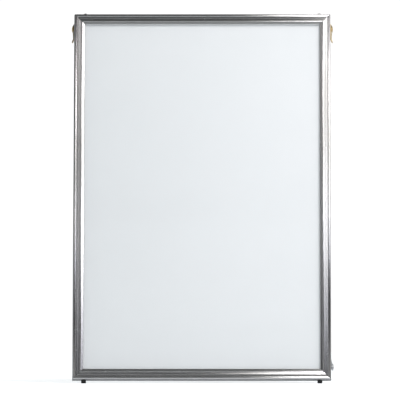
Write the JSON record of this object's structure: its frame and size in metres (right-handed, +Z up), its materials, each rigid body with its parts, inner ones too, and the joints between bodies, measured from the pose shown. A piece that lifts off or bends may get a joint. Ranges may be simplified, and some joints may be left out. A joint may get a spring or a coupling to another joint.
{
  "type": "folding sandwich board",
  "caption": "Free-standing A-frame board of two hinged aluminium snap frames with blank posters, held open by a hooked stay.",
  "frame": {"origin": "on the floor, at the centre of the board's footprint, below the hinge line", "axes": "+Z up, the front leaf faces -Y, +X to the right when the front leaf is faced"},
  "size_m": [0.653, 0.554, 0.9193],
  "materials": {
    "anodised_aluminium": "satin anodised",
    "brushed_aluminium": "satin anodised with extrusion lines",
    "cast_key": "as cast",
    "zinc_screw": "bright zinc plated",
    "zinc_strip": "bright zinc plated",
    "spring_steel": "blued spring steel",
    "yellow_zinc": "yellow passivated zinc",
    "dark_screw": "dark grey satin",
    "white_panel": "matte white",
    "blank_poster": "matte white",
    "clear_sheet": "clear, anti-glare",
    "foot_rubber": "matte"
  },
  "bodies": {
    "front_leaf": {"front_base_rail_top": "anodised_aluminium", "front_base_rail_bottom": "anodised_aluminium", "front_base_rail_left": "anodised_aluminium", "front_base_rail_right": "anodised_aluminium", "front_corner_keys": "cast_key", "front_corner_screws": "zinc_screw", "front_snap_springs": "spring_steel", "front_back_panel": "white_panel", "front_poster": "blank_poster", "front_clear_sheet": "clear_sheet", "front_top_screws": "dark_screw", "front_top_washers": "dark_screw", "front_rubber_feet": "foot_rubber", "front_foot_studs": "zinc_screw", "front_hinge_rivets": "zinc_screw", "front_hinge_plate_left": "yellow_zinc", "front_hinge_plate_right": "yellow_zinc", "hinge_pivots": "yellow_zinc", "hinge_nuts": "zinc_screw", "stay_pivot_bolt": "zinc_screw", "stay_spacer": "zinc_screw"},
    "rear_leaf": {"rear_base_rail_top": "anodised_aluminium", "rear_base_rail_bottom": "anodised_aluminium", "rear_base_rail_left": "anodised_aluminium", "rear_base_rail_right": "anodised_aluminium", "rear_corner_keys": "cast_key", "rear_corner_screws": "zinc_screw", "rear_snap_springs": "spring_steel", "rear_back_panel": "white_panel", "rear_poster": "blank_poster", "rear_clear_sheet": "clear_sheet", "rear_top_screws": "dark_screw", "rear_top_washers": "dark_screw", "rear_rubber_feet": "foot_rubber", "rear_foot_studs": "zinc_screw", "rear_hinge_rivets": "zinc_screw", "rear_hinge_plate_left": "yellow_zinc", "rear_hinge_plate_right": "yellow_zinc", "stay_stud": "zinc_screw"},
    "stay": {"stay_hook": "zinc_strip"},
    "front_cover_top": {"front_snap_cover_top": "brushed_aluminium"},
    "front_cover_bottom": {"front_snap_cover_bottom": "brushed_aluminium"},
    "front_cover_left": {"front_snap_cover_left": "brushed_aluminium"},
    "front_cover_right": {"front_snap_cover_right": "brushed_aluminium"},
    "rear_cover_top": {"rear_snap_cover_top": "brushed_aluminium"},
    "rear_cover_bottom": {"rear_snap_cover_bottom": "brushed_aluminium"},
    "rear_cover_left": {"rear_snap_cover_left": "brushed_aluminium"},
    "rear_cover_right": {"rear_snap_cover_right": "brushed_aluminium"}
  },
  "joints": [
    {"name": "leaf_fold", "type": "hinge", "parent": "front_leaf", "child": "rear_leaf", "pos_m": [0, 0, 0.87896], "axis": [-1, 0, 0], "range_deg": [0, 32]},
    {"name": "stay_lift", "type": "hinge", "parent": "front_leaf", "child": "stay", "pos_m": [0.3232, -0.25641, 0.0391], "axis": [1, 0, 0], "range_deg": [0, 72]},
    {"name": "front_cover_top_open", "type": "hinge", "parent": "front_leaf", "child": "front_cover_top", "pos_m": [0, -0.0144, 0.9143], "axis": [-1, 0, 0], "range_deg": [0, 90]},
    {"name": "front_cover_bottom_open", "type": "hinge", "parent": "front_leaf", "child": "front_cover_bottom", "pos_m": [0, -0.27295, 0.01263], "axis": [1, 0, 0], "range_deg": [0, 90]},
    {"name": "front_cover_left_open", "type": "hinge", "parent": "front_leaf", "child": "front_cover_left", "pos_m": [-0.317, -0.14367, 0.46346], "axis": [0, -0.2756, -0.9613], "range_deg": [0, 90]},
    {"name": "front_cover_right_open", "type": "hinge", "parent": "front_leaf", "child": "front_cover_right", "pos_m": [0.317, -0.14367, 0.46346], "axis": [0, 0.2756, 0.9613], "range_deg": [0, 90]},
    {"name": "rear_cover_top_open", "type": "hinge", "parent": "rear_leaf", "child": "rear_cover_top", "pos_m": [0, 0.0144, 0.9143], "axis": [1, 0, 0], "range_deg": [0, 90]},
    {"name": "rear_cover_bottom_open", "type": "hinge", "parent": "rear_leaf", "child": "rear_cover_bottom", "pos_m": [0, 0.27295, 0.01263], "axis": [-1, 0, 0], "range_deg": [0, 90]},
    {"name": "rear_cover_left_open", "type": "hinge", "parent": "rear_leaf", "child": "rear_cover_left", "pos_m": [-0.317, 0.14367, 0.46346], "axis": [0, -0.2756, 0.9613], "range_deg": [0, 90]},
    {"name": "rear_cover_right_open", "type": "hinge", "parent": "rear_leaf", "child": "rear_cover_right", "pos_m": [0.317, 0.14367, 0.46346], "axis": [0, 0.2756, -0.9613], "range_deg": [0, 90]}
  ]
}
